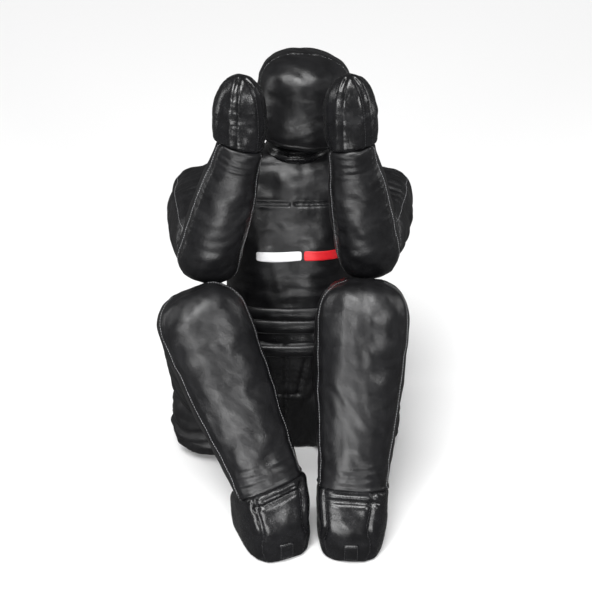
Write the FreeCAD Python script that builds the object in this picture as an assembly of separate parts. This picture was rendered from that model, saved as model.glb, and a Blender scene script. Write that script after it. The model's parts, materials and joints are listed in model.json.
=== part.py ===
"""Grappling dummy, sewn in the seated guard pose: knees up, forearms upright, mitten hands before the face.

The dummy faces -Y, +Z is up and +X is the dummy's own left. Every limb is a stuffed sleeve: a sewn cover of
synthetic leather with a packed textile filling inside it. A sleeve starts in a ball at its pivot, and the piece
before it holds that ball in a matching hollow, so each limb turns about the centre of its ball.
All sizes are in millimetres. Points are first laid out from the seat, and the finished dummy is then moved so
that the origin is the centre of its footprint on the floor.
"""

import FreeCAD, Part
import math
import os
from FreeCAD import Vector

# ---- cover, filling and clearances ----
SKIN = 3.0              # synthetic leather with its lining
EASE = 4.0              # room between a cover and the outside of its filling bag
GAP = 0.5               # running clearance between a ball and the hollow that holds it
CUT = 0.4               # gap that a seam leaves between two panels
FAR = 1500.0            # larger than the dummy, for half spaces

# ---- pivots, laid out from the seat: R is the dummy's own right (-X), L its left (+X) ----
WAIST = Vector(0, -45, 285)
NECK = Vector(10, 0, 662)
SHOULDER = {"R": Vector(-190, 10, 542), "L": Vector(190, 10, 540)}
ELBOW = {"R": Vector(-165, -192, 517), "L": Vector(152, -188, 526)}
WRIST = {"R": Vector(-98, -225, 752), "L": Vector(112, -225, 752)}
FINGERTIP = {"R": Vector(-90, -218, 903), "L": Vector(97, -222, 896)}
HIP = {"R": Vector(-165, -90, 130), "L": Vector(138, -90, 130)}
KNEE = {"R": Vector(-170, -305, 405), "L": Vector(138, -305, 420)}
ANKLE = {"R": Vector(-47, -432, 122), "L": Vector(121, -432, 122)}
TOE_IN = {"R": 21.0, "L": -3.0}     # degrees that each foot points towards +X

# ---- ball radii at the pivots ----
NECK_BALL = 62.0
SHOULDER_BALL = 70.0
ELBOW_BALL = 62.0
WRIST_BALL = 42.0
HIP_BALL = 98.0
KNEE_BALL = 89.0
ANKLE_BALL = 66.0
SHOULDER_CORE = 36.0    # packed ball inside the shoulder
HIP_CORE = 50.0         # packed ball inside the hip

# ---- sleeve radii, from the pivot that starts the limb to the one that ends it ----
UPPER_ARM_RADII = (66.0, 65.0, 62.0, 59.0)
FOREARM_RADII = (60.0, 58.0, 50.0, 41.0)
THIGH_RADII = (94.0, 94.0, 90.0, 86.0)
SHIN_RADII = (88.0, 84.0, 75.0, 65.0)
FILLING_STEP = 2.0      # how much narrower the rounded ends of a filling are than the filling beside them

# ---- how far the covers let each joint go, in degrees, used to shape the hollows ----
ELBOW_CLOSES = 5.0
KNEE_CLOSES = 1.0
WRIST_SWING = 14.0
ANKLE_SWING = 12.0
WAIST_BACK = 14.0

# ---- trunk: (height, half width, front, back) in the trunk's own leaning frame, from the waist pivot ----
TRUNK_LEAN = 7.0
TRUNK_TOP = 372.0
CHEST_SECTIONS = (
    (-10.0, 133.0, -99.0, 99.0),
    (90.0, 140.0, -103.0, 101.0),
    (215.0, 152.0, -104.0, 106.0),
    (305.0, 158.0, -92.0, 104.0),
    (350.0, 132.0, -72.0, 88.0),
    (TRUNK_TOP, 92.0, -52.0, 68.0),
)
WAIST_ROLL = 99.0       # radius of the rounded lower end of the chest
YOKE_SEAM = 284.0       # height of the seam across the chest, from the waist pivot
CHEST_SHAPE = 3.0       # exponent of the chest's outline: 2 is an ellipse, more is squarer

# ---- pelvis: (height, half width, front, back) above the floor; its top is cut to the trunk's lean ----
PELVIS_CENTRE = (HIP["R"].x + HIP["L"].x) / 2
PELVIS_SECTIONS = (
    (12.0, 140.0, -150.0, 92.0),
    (70.0, 152.0, -158.0, 112.0),
    (150.0, 150.0, -158.0, 100.0),
    (310.0, 138.0, -152.0, 62.0),
)
PELVIS_TOP = -28.0      # measured up the trunk from the waist pivot
SEAT_SECTIONS = (
    (0.0, 224.0, -196.0, 96.0),
    (8.0, 238.0, -214.0, 108.0),
    (22.0, 240.0, -216.0, 110.0),
    (31.0, 226.0, -200.0, 98.0),
)
PELVIS_SHAPE = 3.0
SEAT_SHAPE = 2.4
CROTCH_HALF = 52.0      # half width of the panel between the thighs
CROTCH_LOW = 118.0
CROTCH_HIGH = 236.0
CROTCH_FRONT = -146.0   # the panel is the skin in front of this

# ---- waistbands: (lowest, highest), measured up the trunk from the waist pivot ----
UPPER_BAND = (27.0, 56.0)
MIDDLE_BAND = (-3.0, 26.0)
LOWER_BAND = (-56.0, -30.0)     # this one is on the pelvis
BAND_THICK = 3.5

# ---- head: (height, half width, front, back) above the neck pivot, before it tilts ----
HEAD_TILT = 7.0         # degrees towards the dummy's left
HEAD_SECTIONS = (
    (17.0, 66.0, -70.0, 72.0),
    (32.0, 84.0, -92.0, 92.0),
    (92.0, 97.0, -103.0, 103.0),
    (148.0, 96.0, -101.0, 101.0),
    (184.0, 78.0, -76.0, 80.0),
    (202.0, 42.0, -38.0, 42.0),
)
HEAD_SHAPE = 2.7
HEAD_SEAM = -22.0       # the face panel lies in front of this plane

# ---- hand: (distance past the wrist, half width, half thickness) ----
HAND_SECTIONS = (
    (WRIST_BALL * math.sin(math.radians(WRIST_SWING)) + 2, 45.0, 43.0),
    (45.0, 49.0, 42.0),
    (85.0, 50.0, 40.0),
    (120.0, 40.0, 32.0),
    (142.0, 22.0, 18.0),
)

# ---- foot, in its own frame: forward from the ankle, height above the floor ----
FOOT_HALF_WIDTH = 64.0
SOLE_THICK = 6.0
HEEL_BACK = -84.0
TOE_FRONT = 98.0
TOE_HEIGHT = 84.0
INSTEP_FORWARD = 48.0
FOOT_HEIGHT = ANKLE["R"].z - ANKLE_BALL * math.sin(math.radians(ANKLE_SWING)) - 2
FOOT_ROUND = 20.0
TAB_WIDTH = 26.0
TAB_HEIGHT = 42.0
TAB_THICK = 2.5

# ---- filling zip down the back of the chest ----
ZIP_LOW = 60.0
ZIP_HIGH = 250.0
TAPE_WIDTH = 34.0
TAPE_THICK = 1.6
TOOTH_WIDTH = 6.0
TOOTH_PITCH = 4.0
SLIDER = (12.0, 7.0, 16.0)      # width, depth, height
PULL = (9.0, 2.4, 38.0)
PULL_PIN = 1.5

os.makedirs("parts", exist_ok=True)
made = {}


# ------------------------------------------------------------------ basic shapes
def unit(v):
    return v * (1.0 / v.Length)


def placed(origin, up, side):
    """Placement with its local Z along up and its local X as near side as it can be."""
    z = unit(up)
    x = unit(side - z * side.dot(z))
    y = z.cross(x)
    return FreeCAD.Placement(FreeCAD.Matrix(x.x, y.x, z.x, origin.x, x.y, y.y, z.y, origin.y,
                                            x.z, y.z, z.z, origin.z, 0, 0, 0, 1))


def turned(shape, centre, axis, degrees):
    copy = shape.copy()
    copy.rotate(centre, axis, degrees)
    return copy


def ball(centre, radius):
    """A ball whose poles are on the Y axis."""
    return Part.makeSphere(radius, centre, Vector(0, 1, 0), -90, 90, 360)


def half_space(point, normal):
    """Everything on the side of the plane that normal points to."""
    box = Part.makeBox(2 * FAR, 2 * FAR, FAR, Vector(-FAR, -FAR, 0))
    side = Vector(1, 0, 0) if abs(unit(normal).x) < 0.9 else Vector(0, 1, 0)
    box.Placement = placed(point, normal, side)
    return box


def slab(placement, low, high):
    """Everything between two heights of a frame."""
    box = Part.makeBox(2 * FAR, 2 * FAR, high - low, Vector(-FAR, -FAR, low))
    box.Placement = placement
    return box


def sleeve(start, end, radii, grow=0.0, beyond=0.0):
    """A round sleeve between two pivots, its radius eased through radii. beyond carries it past the end."""
    length = (end - start).Length
    steps = len(radii) - 1
    points = [Vector(radius + grow, 0, length * i / steps) for i, radius in enumerate(radii)]
    if beyond:
        points.append(Vector(radii[-1] + grow, 0, length + beyond))
    side = Part.BSplineCurve()
    side.interpolate(points)
    low, high = Vector(0, 0, 0), Vector(0, 0, points[-1].z)
    outline = Part.Wire([Part.makeLine(low, points[0]), side.toShape(),
                         Part.makeLine(points[-1], high), Part.makeLine(high, low)])
    solid = Part.Face(outline).revolve(Vector(0, 0, 0), Vector(0, 0, 1), 360)
    solid.Placement = placed(start, end - start, Vector(0, 1, 0.3))
    return solid


def outline(height, half_width, front, back, shape, grow, points=20):
    """A closed super-ellipse wire at one height, grown outwards by grow."""
    middle, half_depth = (front + back) / 2, (back - front) / 2
    wide, deep = half_width + grow, half_depth + grow
    found = []
    for i in range(points):
        angle = 2 * math.pi * (i + 0.5) / points
        c, s = math.cos(angle), math.sin(angle)
        found.append(Vector(math.copysign(abs(c) ** (2 / shape), c) * wide,
                            math.copysign(abs(s) ** (2 / shape), s) * deep + middle, height))
    curve = Part.BSplineCurve()
    curve.interpolate(found, PeriodicFlag=True)
    return Part.Wire(curve.toShape())


def bag(sections, shape, placement, grow=0.0):
    """A stuffed bag lofted through outlines. Growing it moves its two ends as well."""
    wires = []
    for i, (height, half_width, front, back) in enumerate(sections):
        shift = -grow if i == 0 else grow if i == len(sections) - 1 else 0.0
        wires.append(outline(height + shift, half_width, front, back, shape, grow))
    solid = Part.makeLoft(wires, True, False)
    solid.Placement = placement
    return solid


def cover_and_filling(build):
    """build(grow) gives a piece grown by that much: the cover is its skin, the filling lies inside it."""
    return build(0.0).cut(build(-SKIN)), build(-SKIN - EASE)


def seam_split(cover, point, normal):
    """The cover's panel on the side that normal points to, and its other panel."""
    n = unit(normal)
    return cover.common(half_space(point + n * (CUT / 2), n)), cover.common(half_space(point - n * (CUT / 2), n * -1))


def keep(name, shape):
    made[name] = shape


# ------------------------------------------------------------------ limbs
def fold_cutter(pivot, axis_to_own, axis_to_other, closes, grow=0.0):
    """What the crease of a folded joint takes off a sleeve: all beyond the plane that halves the closed angle."""
    own, other = unit(axis_to_own), unit(axis_to_other)
    hinge = unit(own.cross(other))
    half = math.degrees(own.getAngle(other)) / 2 - closes / 2
    into_fold = FreeCAD.Rotation(hinge, half).multVec(own)
    outward = hinge.cross(into_fold)
    return half_space(pivot + outward * grow, outward)


def first_limb(start, end, after, start_ball, end_ball, radii, closes, grow):
    """Upper arm or thigh: a ball at its start, and a hollow for the next sleeve's ball at its end."""
    tube = sleeve(start, end, radii, grow)
    tube = tube.cut(fold_cutter(end, start - end, after - end, closes, grow))
    return tube.fuse(ball(start, start_ball + grow)).cut(ball(end, end_ball + GAP - grow))


def second_limb(before, start, end, start_ball, end_ball, radii, closes, grow):
    """Forearm or shin: a ball at each end. The balls of a filling are a little narrower than its sleeve."""
    tube = sleeve(start, end, radii, grow)
    tube = tube.cut(fold_cutter(start, end - start, before - start, closes, grow))
    start_radius, end_radius = start_ball + grow, end_ball + grow
    if grow < -SKIN:
        start_radius = radii[0] + grow - FILLING_STEP
        end_radius = radii[-1] + grow - FILLING_STEP
    return tube.fuse(ball(start, start_radius)).fuse(ball(end, end_radius))


def arm(side):
    shoulder, elbow, wrist = SHOULDER[side], ELBOW[side], WRIST[side]
    cover, filling = cover_and_filling(lambda grow: first_limb(
        shoulder, elbow, wrist, SHOULDER_BALL, ELBOW_BALL, UPPER_ARM_RADII, ELBOW_CLOSES, grow))
    keep("upper_arm_cover_" + side, cover)
    keep("upper_arm_filling_" + side, filling.cut(ball(shoulder, SHOULDER_CORE + GAP)))
    keep("shoulder_core_" + side, ball(shoulder, SHOULDER_CORE))

    cover, filling = cover_and_filling(lambda grow: second_limb(
        shoulder, elbow, wrist, ELBOW_BALL, WRIST_BALL, FOREARM_RADII, ELBOW_CLOSES, grow))
    front, back = seam_split(cover, elbow, Vector(0, -1, 0.12))
    keep("forearm_front_panel_" + side, front)
    keep("forearm_back_panel_" + side, back)
    keep("forearm_filling_" + side, filling)


def hand(side):
    wrist, tip = WRIST[side], FINGERTIP[side]
    place = placed(wrist, tip - wrist, Vector(1, 0, 0))
    sections = [(z, wide, -thick, thick) for z, wide, thick in HAND_SECTIONS]

    def build(grow):
        return bag(sections, 2.0, place, grow).cut(ball(wrist, WRIST_BALL + GAP - grow))

    cover, filling = cover_and_filling(build)
    across = place.Rotation.multVec(Vector(1, 0, 0))
    through = place.Rotation.multVec(Vector(0, 1, 0))
    halves = seam_split(cover, wrist, across)
    gores = [gore for half in halves for gore in seam_split(half, wrist, through)]
    keep("hand_gores_" + side, Part.makeCompound(gores))
    keep("hand_filling_" + side, filling)


def leg(side):
    hip, knee, ankle = HIP[side], KNEE[side], ANKLE[side]
    cover, filling = cover_and_filling(lambda grow: first_limb(
        hip, knee, ankle, HIP_BALL, KNEE_BALL, THIGH_RADII, KNEE_CLOSES, grow))
    keep("thigh_cover_" + side, cover)
    keep("thigh_filling_" + side, filling.cut(ball(hip, HIP_CORE + GAP)))
    keep("hip_core_" + side, ball(hip, HIP_CORE))

    cover, filling = cover_and_filling(lambda grow: second_limb(
        hip, knee, ankle, KNEE_BALL, ANKLE_BALL, SHIN_RADII, KNEE_CLOSES, grow))
    front, back = seam_split(cover, knee, Vector(0, -1, 0.45))
    keep("shin_front_panel_" + side, front)
    keep("shin_back_panel_" + side, back)
    keep("shin_filling_" + side, filling)


def foot_frame(side):
    """Local +Y points forward, out of the toe, and local Z is the height above the floor."""
    forward = FreeCAD.Rotation(Vector(0, 0, 1), TOE_IN[side]).multVec(Vector(0, -1, 0))
    return placed(Vector(ANKLE[side].x, ANKLE[side].y, 0), Vector(0, 0, 1), forward.cross(Vector(0, 0, 1)))


def foot_block(low, grow, round_edges):
    """The stubby foot from its side view, spread across its width and rounded."""
    side_view = [Vector(0, HEEL_BACK - grow, low - grow), Vector(0, TOE_FRONT + grow, low - grow),
                 Vector(0, TOE_FRONT + grow, TOE_HEIGHT + grow), Vector(0, INSTEP_FORWARD, FOOT_HEIGHT + grow),
                 Vector(0, HEEL_BACK - grow, FOOT_HEIGHT + grow)]
    half = FOOT_HALF_WIDTH + grow
    face = Part.Face(Part.makePolygon(side_view + side_view[:1]))
    face.translate(Vector(-half, 0, 0))
    block = face.extrude(Vector(2 * half, 0, 0))
    top = [e for e in block.Edges if e.BoundBox.ZMin > low + 1 or e.BoundBox.ZLength > 1]
    return block.makeFillet(round_edges, top)


def shin_room(side, grow):
    """A cone that the shin stays inside however the ankle bends."""
    slope = math.tan(math.radians(ANKLE_SWING))
    behind, reach = ANKLE_BALL * slope, 2 * ANKLE_BALL
    near = ANKLE_BALL + GAP + grow
    cone = Part.makeCone(near, near + (behind + reach) * slope, behind + reach, Vector(0, 0, -behind))
    cone.Placement = placed(ANKLE[side], KNEE[side] - ANKLE[side], Vector(1, 0, 0))
    return cone


def foot(side):
    place = foot_frame(side)

    def build(grow):
        block = foot_block(SOLE_THICK, grow, FOOT_ROUND + grow)
        block.Placement = place
        return block.cut(ball(ANKLE[side], ANKLE_BALL + GAP - grow)).cut(shin_room(side, -grow))

    cover, filling = cover_and_filling(build)
    keep("foot_cover_" + side, cover)
    keep("foot_filling_" + side, filling)

    sole = Part.makeBox(2 * FOOT_HALF_WIDTH - 4, TOE_FRONT - HEEL_BACK - 4, SOLE_THICK,
                        Vector(-FOOT_HALF_WIDTH + 2, HEEL_BACK + 2, 0))
    sole = sole.makeFillet(FOOT_ROUND - 2, [e for e in sole.Edges if e.BoundBox.ZLength > 1])
    sole.Placement = place
    keep("foot_sole_" + side, sole)

    tab = Part.makeBox(TAB_WIDTH, TAB_THICK, TAB_HEIGHT, Vector(-TAB_WIDTH / 2, TOE_FRONT, SOLE_THICK + 6))
    tab.Placement = place
    keep("toe_tab_" + side, tab)


# ------------------------------------------------------------------ trunk
def limb_room(start, end, radius, out, below, grow):
    """The room a limb needs beside the trunk: all that is outside, in front of and above its pivot's ball."""
    reach = radius + GAP + 1.0 + grow
    place = placed(start, end - start, Vector(out, 0, 0))
    over = place.Rotation.multVec(Vector(0, 1, 0)).z
    low = -(below + grow) if over > 0 else -FAR
    high = FAR if over > 0 else below + grow
    room = Part.makeBox(FAR + reach, high - low, FAR + reach, Vector(-reach, low, -reach))
    room.Placement = place
    return room


def arm_room(side, grow=0.0):
    out = 1 if side == "L" else -1
    return limb_room(SHOULDER[side], ELBOW[side], SHOULDER_BALL, out, SHOULDER_BALL + 5, grow)


def leg_room(side, grow=0.0):
    """The thigh only moves down and out from the seated pose, so its room ends just above it."""
    out = 1 if side == "L" else -1
    reach = HIP_BALL + GAP + 1.0 + grow
    place = placed(HIP[side], KNEE[side] - HIP[side], Vector(out, 0, 0))
    over = place.Rotation.multVec(Vector(0, 1, 0)).z
    low = -FAR if over > 0 else -reach
    room = Part.makeBox(FAR + reach, FAR + reach, FAR + reach, Vector(-reach, low, -reach))
    room.Placement = place
    return room


def trunk_frame():
    place = FreeCAD.Placement(WAIST, FreeCAD.Rotation(Vector(1, 0, 0), -TRUNK_LEAN))
    return place


def waist_roll(grow):
    half = CHEST_SECTIONS[0][1] + grow
    roll = Part.makeCylinder(WAIST_ROLL + grow, 2 * half, Vector(-half, 0, 0), Vector(1, 0, 0))
    return roll.makeFillet(40.0 + grow, roll.Edges) if grow > -30 else roll


def chest_bag(grow):
    """The chest, with a rounded lower end that turns in the pelvis about the waist pivot."""
    chest = bag(CHEST_SECTIONS, CHEST_SHAPE, FreeCAD.Placement(), grow)
    lower = waist_roll(grow)
    chest = chest.cut(half_space(Vector(0, 0, 0), Vector(0, 0, -1))).fuse(lower)
    chest.Placement = trunk_frame()
    return chest


def chest():
    def build(grow):
        shape = chest_bag(grow).cut(ball(NECK, NECK_BALL + GAP - grow))
        for side in "RL":
            leaning_back = turned(leg_room(side, -grow), WAIST, Vector(1, 0, 0), WAIST_BACK)
            shape = shape.cut(arm_room(side, -grow)).cut(leg_room(side, -grow)).cut(leaning_back)
        return shape

    cover, filling = cover_and_filling(build)
    place = trunk_frame()
    up = place.Rotation.multVec(Vector(0, 0, 1))
    ahead = place.Rotation.multVec(Vector(0, -1, 0))
    front, back = seam_split(cover, WAIST, ahead)
    yoke, panel = seam_split(front, WAIST + up * YOKE_SEAM, up)
    keep("chest_yoke_panel", yoke)
    keep("chest_front_panel", panel)
    keep("chest_back_panel", back.cut(tape_room()))
    keep("chest_filling", filling)

    ring = chest_bag(BAND_THICK + EASE / 10).cut(chest_bag(EASE / 10))
    for side in "RL":
        ring = ring.cut(leg_room(side)).cut(turned(leg_room(side), WAIST, Vector(1, 0, 0), WAIST_BACK))
    for name, (low, high) in (("waistband_upper", UPPER_BAND), ("waistband_middle", MIDDLE_BAND)):
        keep(name, ring.common(slab(place, low, high)))


def pelvis():
    centre = FreeCAD.Placement(Vector(PELVIS_CENTRE, 0, 0), FreeCAD.Rotation())
    up = trunk_frame().Rotation.multVec(Vector(0, 0, 1))

    def build(grow):
        block = bag(PELVIS_SECTIONS, PELVIS_SHAPE, centre, grow)
        block = block.cut(half_space(WAIST + up * (PELVIS_TOP + grow), up))
        trough = Part.makeCylinder(WAIST_ROLL + GAP - grow, 2 * FAR, WAIST - Vector(FAR, 0, 0), Vector(1, 0, 0))
        block = block.cut(trough)
        for side in "RL":
            block = block.cut(leg_room(side, -grow))
        return block.fuse(bag(SEAT_SECTIONS, SEAT_SHAPE, centre, grow))

    cover, filling = cover_and_filling(build)
    upper, bottom = seam_split(cover, Vector(0, 0, SKIN), Vector(0, 0, 1))
    window = Part.makeBox(2 * CROTCH_HALF, FAR, CROTCH_HIGH - CROTCH_LOW,
                          Vector(PELVIS_CENTRE - CROTCH_HALF, CROTCH_FRONT - FAR, CROTCH_LOW))
    kerf = Part.makeBox(2 * (CROTCH_HALF + CUT), FAR, CROTCH_HIGH - CROTCH_LOW + 2 * CUT,
                        Vector(PELVIS_CENTRE - CROTCH_HALF - CUT, CROTCH_FRONT + CUT - FAR, CROTCH_LOW - CUT))
    keep("crotch_panel", upper.common(window))
    keep("pelvis_cover", upper.cut(kerf))
    keep("seat_bottom_panel", bottom)
    keep("pelvis_filling", filling)

    ring = bag(PELVIS_SECTIONS, PELVIS_SHAPE, centre, BAND_THICK + EASE / 10)
    ring = ring.cut(bag(PELVIS_SECTIONS, PELVIS_SHAPE, centre, EASE / 10))
    ring = ring.common(slab(trunk_frame(), *LOWER_BAND))
    ring = ring.cut(Part.makeCylinder(WAIST_ROLL + GAP, 2 * FAR, WAIST - Vector(FAR, 0, 0), Vector(1, 0, 0)))
    for side in "RL":
        ring = ring.cut(leg_room(side))
    keep("waistband_lower", ring)


def tape_at():
    """How far behind the waist pivot the zip's tape lies, in the trunk's frame."""
    return max(section[3] for section in CHEST_SECTIONS) + GAP


def tape_room():
    """What the back panel leaves free for the tape."""
    room = Part.makeBox(TAPE_WIDTH + 2 * GAP, FAR, ZIP_HIGH - ZIP_LOW + 2 * GAP,
                        Vector(-TAPE_WIDTH / 2 - GAP, tape_at() - GAP, ZIP_LOW - GAP))
    room.Placement = trunk_frame()
    return room


def back_zip():
    """A zip on a flat tape that is sewn over the opening in the back panel."""
    back = tape_at()
    tapes, teeth = [], []
    for side in (-1, 1):
        low_x = 0.0 if side > 0 else -TAPE_WIDTH / 2
        tapes.append(Part.makeBox(TAPE_WIDTH / 2, TAPE_THICK, ZIP_HIGH - ZIP_LOW, Vector(low_x, back, ZIP_LOW)))
    tape = tapes[0].fuse(tapes[1]).removeSplitter()
    count = int((ZIP_HIGH - ZIP_LOW - 20) / TOOTH_PITCH)
    for i in range(count):
        teeth.append(Part.makeBox(TOOTH_WIDTH, 2.0, TOOTH_PITCH * 0.6,
                                  Vector(-TOOTH_WIDTH / 2, back + TAPE_THICK, ZIP_LOW + 10 + i * TOOTH_PITCH)))
    return tape, teeth, back


def zip_parts():
    place = trunk_frame()
    tape, teeth, back = back_zip()
    top = ZIP_HIGH - 12
    wide, deep, tall = SLIDER
    face = back + TAPE_THICK + 2.0 + GAP
    slider = Part.makeBox(wide, deep, tall, Vector(-wide / 2, face, top - tall))
    slider = slider.makeFillet(1.5, slider.Edges)
    pin_at = Vector(-wide / 2 - 3, face + deep + PULL_PIN + 2.4, top - 5)
    pin = Part.makeCylinder(PULL_PIN, wide + 6, pin_at, Vector(1, 0, 0))
    for x in (-wide / 2 - 3, wide / 2):
        slider = slider.fuse(Part.makeBox(3, deep + 2 * PULL_PIN + 3.2, 6, Vector(x, face, top - 8)))
    slider = slider.fuse(pin)
    pull_wide, pull_thick, pull_long = PULL
    eye = pin_at + Vector(wide / 2 + 3, 0, 0)
    pull = Part.makeBox(pull_wide, pull_thick, pull_long,
                        Vector(-pull_wide / 2, eye.y - pull_thick / 2, eye.z - pull_long))
    knuckle = Part.makeCylinder(PULL_PIN + 1.6, pull_wide, eye - Vector(pull_wide / 2, 0, 0), Vector(1, 0, 0))
    bore = Part.makeCylinder(PULL_PIN + 0.06, 4 * pull_wide, eye - Vector(2 * pull_wide, 0, 0), Vector(1, 0, 0))
    pull = turned(pull.fuse(knuckle).cut(bore), eye, Vector(1, 0, 0), TRUNK_LEAN)
    for name, shape in (("zip_tape", Part.makeCompound([tape] + teeth)), ("zip_slider", slider), ("zip_pull", pull)):
        shape.Placement = place.multiply(shape.Placement)
        keep(name, shape)
    return place.multVec(eye)


# ------------------------------------------------------------------ neck and head
def neck():
    cover, filling = cover_and_filling(lambda grow: ball(NECK, NECK_BALL + grow))
    keep("neck_collar", cover)
    keep("neck_filling", filling)


def head():
    place = FreeCAD.Placement(NECK, FreeCAD.Rotation(Vector(0, 1, 0), HEAD_TILT))

    def build(grow):
        return bag(HEAD_SECTIONS, HEAD_SHAPE, place, grow).cut(ball(NECK, NECK_BALL + GAP - grow))

    cover, filling = cover_and_filling(build)
    face, back = seam_split(cover, NECK + Vector(0, HEAD_SEAM, 0), Vector(0, -1, 0))
    keep("head_face_panel", face)
    keep("head_back_panel", back)
    keep("head_filling", filling)


# ------------------------------------------------------------------ the whole dummy
def build_all():
    pelvis()
    chest()
    neck()
    head()
    for side in "RL":
        arm(side)
        hand(side)
        leg(side)
        foot(side)
    return zip_parts()


pull_eye = build_all()
whole = Part.makeCompound(list(made.values())).optimalBoundingBox(False, False)
TO_ORIGIN = Vector(-(whole.XMin + whole.XMax) / 2, -(whole.YMin + whole.YMax) / 2, -whole.ZMin)
for node, shape in made.items():
    shape.translate(TO_ORIGIN)
    bad = [s for s in shape.Solids if not s.isValid()]
    print(f"{node:26s} solids {len(shape.Solids):3d} volume {shape.Volume / 1e3:9.1f} cm3"
          f"{' INVALID' if bad or not shape.Solids else ''}")
    solids = shape.Solids
    (solids[0] if len(solids) == 1 else Part.makeCompound(solids)).exportStep(f"parts/{node}.step")
print("moved by", TO_ORIGIN, "size", whole.XLength, whole.YLength, whole.ZLength, "pull eye", pull_eye)
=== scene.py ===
"""The looks of the seated grappling dummy: stuffed leather sleeves, their seams, stitches and trim.

Every sleeve is a grid of points cast onto a smooth solid, puffed up as cloth between its seams, refined, and
then given its seam grooves, folds and lumps. Units are metres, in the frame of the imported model.
"""

import json
import math

import bpy
import numpy as np
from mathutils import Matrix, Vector
from mathutils.bvhtree import BVHTree


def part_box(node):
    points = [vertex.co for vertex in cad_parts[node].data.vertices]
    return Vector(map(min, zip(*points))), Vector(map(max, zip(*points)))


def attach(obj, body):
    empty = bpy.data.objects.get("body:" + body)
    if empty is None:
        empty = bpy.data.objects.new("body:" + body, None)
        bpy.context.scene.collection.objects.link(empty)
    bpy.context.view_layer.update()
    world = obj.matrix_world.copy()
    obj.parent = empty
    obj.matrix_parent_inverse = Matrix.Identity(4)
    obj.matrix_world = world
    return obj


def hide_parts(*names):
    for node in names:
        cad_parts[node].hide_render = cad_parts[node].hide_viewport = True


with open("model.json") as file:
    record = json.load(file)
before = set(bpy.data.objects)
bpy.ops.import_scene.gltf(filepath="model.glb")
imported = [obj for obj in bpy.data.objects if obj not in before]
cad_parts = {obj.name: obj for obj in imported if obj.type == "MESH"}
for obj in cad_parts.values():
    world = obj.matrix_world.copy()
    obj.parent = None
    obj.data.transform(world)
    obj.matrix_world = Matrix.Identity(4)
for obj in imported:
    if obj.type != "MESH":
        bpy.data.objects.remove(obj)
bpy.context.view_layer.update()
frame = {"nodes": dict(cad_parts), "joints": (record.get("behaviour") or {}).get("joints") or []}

COLUMNS = 48            # of a sleeve's grid before it is refined
THREAD = 0.0005         # radius of the sewing thread
STITCH = 0.0036         # length of one stitch
PITCH = 0.0052          # from one stitch to the next
MARGIN = 0.0044         # from a seam to the stitches beside it
SEAM_HOLD = 0.0065      # the cloth is held still this near a seam
CAP_TILT = 86           # degrees, of the last ring of a round cap
FOLD_GAP = 0.0006       # half the gap between two sleeves where a joint folds
FOLD_ROUND = {"leg": 0.016, "arm": 0.012}      # how softly a sleeve's edge rounds off there
UP = np.array((0.0, 0.0, 1.0))
FRONT = np.array((0.0, -1.0, 0.0))


# ------------------------------------------------------------------ places, from the frame's joints
def unit(v):
    v = np.asarray(v, dtype=float)
    return v / np.linalg.norm(v)


def unit_rows(rows):
    return rows / np.linalg.norm(rows, axis=-1, keepdims=True)


def joint(name):
    return next(one for one in frame["joints"] if one["name"] == name)


def pivot(name):
    return np.array(joint(name)["pos_m"], dtype=float)


def pivot_axis(name):
    return unit(joint(name)["axis"])


SHOULDER = {side: pivot("shoulder_spread_" + side) for side in "RL"}
ELBOW = {side: pivot("elbow_bend_" + side) for side in "RL"}
WRIST = {side: pivot("wrist_bend_" + side) for side in "RL"}
HIP = {side: pivot("hip_bend_" + side) for side in "RL"}
KNEE = {side: pivot("knee_bend_" + side) for side in "RL"}
ANKLE = {side: pivot("ankle_bend_" + side) for side in "RL"}
NECK = pivot("neck_nod")
WAIST = pivot("waist_bend")
OUT = {"R": -1.0, "L": 1.0}
TRUNK_UP = -pivot_axis("zip_slide")
HEAD_UP = pivot_axis("head_turn")


class Axes:
    """A local frame: x to the side, y to the front (where a sleeve's angle is zero), z along the sleeve."""

    def __init__(self, origin, along, front):
        self.origin = np.asarray(origin, dtype=float)
        self.z = unit(along)
        self.y = unit(np.asarray(front, dtype=float) - self.z * np.dot(front, self.z))
        self.x = np.cross(self.y, self.z)

    def world(self, x, y, z):
        x, y, z = (np.asarray(value, dtype=float)[..., None] for value in (x, y, z))
        return self.origin + x * self.x + y * self.y + z * self.z

    def local(self, points):
        away = points - self.origin
        return away @ self.x, away @ self.y, away @ self.z


# ------------------------------------------------------------------ smooth solids: negative inside
def through(values, t):
    """A smooth curve through equally spaced values, at t from 0 to 1."""
    values = np.asarray(values, dtype=float)
    at = np.clip(t, 0, 1) * (len(values) - 1)
    i = np.clip(np.floor(at).astype(int), 0, len(values) - 2)
    f = at - i
    a, b = values[np.maximum(i - 1, 0)], values[i]
    c, d = values[i + 1], values[np.minimum(i + 2, len(values) - 1)]
    return b + 0.5 * f * (c - a + f * (2 * a - 5 * b + 4 * c - d + f * (3 * (b - c) + d - a)))


def sleeve_solid(axes, length, wide, front, back, square, ends):
    """A stuffed sleeve, its half sizes eased along it. Ends says how far its two caps reach."""
    def solid(points):
        x, y, z = axes.local(points)
        t = z / length
        a = through(wide, t)
        b = np.where(y > 0, through(front, t), through(back, t))
        over = np.where(z < 0, -z / ends[0], np.where(z > length, (z - length) / ends[1], 0.0))
        norm = (np.abs(x / a) ** square + np.abs(y / b) ** square + np.abs(over) ** square) ** (1 / square)
        return (norm - 1) * np.minimum(a, b)
    return solid


def beyond(point, normal):
    """Solid on the side of the plane that the normal points away from."""
    normal = unit(normal)
    return lambda points: (points - point) @ normal


def both(first, second, soft):
    """Where two solids overlap, with a rounded edge."""
    def solid(points):
        a, b = first(points), second(points)
        h = np.clip(0.5 + 0.5 * (a - b) / soft, 0, 1)
        return b + (a - b) * h + soft * h * (1 - h)
    return solid


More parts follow.
